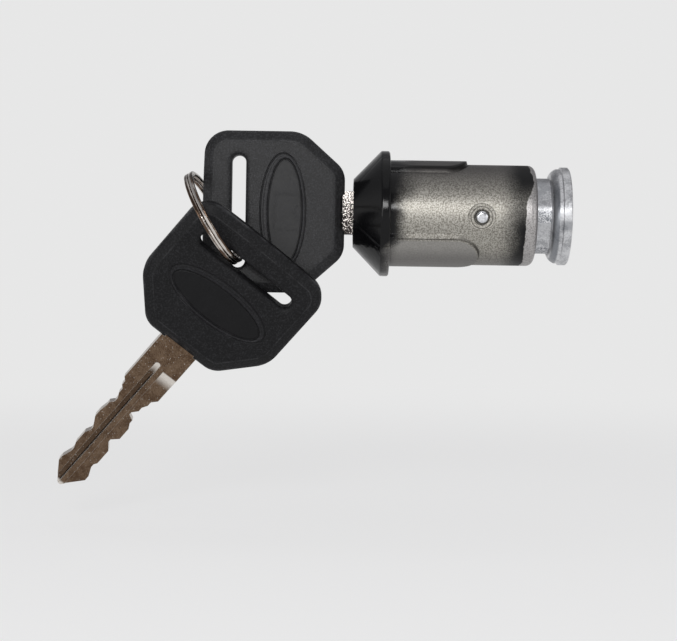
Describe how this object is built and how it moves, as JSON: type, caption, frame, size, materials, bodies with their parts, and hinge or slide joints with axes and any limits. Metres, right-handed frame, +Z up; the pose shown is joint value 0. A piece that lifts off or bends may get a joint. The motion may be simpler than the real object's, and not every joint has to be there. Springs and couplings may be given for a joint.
{
  "type": "ignition lock cylinder",
  "caption": "Key-operated ignition lock cylinder: cast barrel with conical bezel and locating pads, wafer plug, tail driver, key in the plug and spare key on a split ring.",
  "frame": {"origin": "on the lock's axis, in the plane of the bezel's rear face, where the lock seats on its panel", "axes": "+X along the lock's axis from the key to the tail driver, +Z up along the inserted key's width, -Y towards the side that shows the retaining pin"},
  "size_m": [0.1027, 0.0267, 0.0722],
  "materials": {
    "barrel_casting": "bare grey zinc casting, glossy black paint on the bezel",
    "plug_casting": "bare zinc casting",
    "tail_casting": "bright bare zinc casting",
    "wafer_brass": "stamped, satin",
    "spring_steel": "drawn wire or strip, plain",
    "pin_steel": "bright",
    "blade_nickel": "nickel-plated, milled cuts",
    "head_plastic": "black, fine-grained",
    "ring_nickel": "nickel-plated, bright"
  },
  "bodies": {
    "lock_barrel": {"barrel": "barrel_casting", "retaining_pin_spring": "spring_steel"},
    "lock_plug": {"plug": "plug_casting", "wafer_1": "wafer_brass", "wafer_2": "wafer_brass", "wafer_3": "wafer_brass", "wafer_4": "wafer_brass", "wafer_5": "wafer_brass", "wafer_6": "wafer_brass", "wafer_7": "wafer_brass", "wafer_8": "wafer_brass", "wafer_spring_1": "spring_steel", "wafer_spring_2": "spring_steel", "wafer_spring_3": "spring_steel", "wafer_spring_4": "spring_steel", "wafer_spring_5": "spring_steel", "wafer_spring_6": "spring_steel", "wafer_spring_7": "spring_steel", "wafer_spring_8": "spring_steel", "tail_driver": "tail_casting", "tail_clip": "spring_steel"},
    "latch_pin": {"retaining_pin": "pin_steel"},
    "key": {"key_blade": "blade_nickel", "key_head": "head_plastic"},
    "ring": {"split_ring": "ring_nickel"},
    "spare_key": {"spare_key_blade": "blade_nickel", "spare_key_head": "head_plastic"}
  },
  "joints": [
    {"name": "plug_turn", "type": "hinge", "parent": "lock_barrel", "child": "lock_plug", "pos_m": [0, 0, 0], "axis": [1, 0, 0], "range_deg": [0, 105]},
    {"name": "key_pull", "type": "slide", "parent": "lock_plug", "child": "key", "axis": [-1, 0, 0], "range_m": [0, 0.04]},
    {"name": "ring_spin", "type": "hinge", "parent": "key", "child": "ring", "pos_m": [-0.03474, -0.00412, -0.00164], "axis": [0.8665, -0.1288, 0.4823], "continuous": true},
    {"name": "spare_key_swing", "type": "hinge", "parent": "key", "child": "spare_key", "pos_m": [-0.03034, -0.00582, -0.01], "axis": [0.0172, -0.9373, -0.3482], "range_deg": [-40, 10]},
    {"name": "retaining_pin_push", "type": "slide", "parent": "lock_barrel", "child": "latch_pin", "axis": [0, 0.9952, 0.0976], "range_m": [0, 0.0008], "stiffness_N_per_m": 300, "springref_m": -0.0008, "deforming": ["retaining_pin_spring"]}
  ]
}
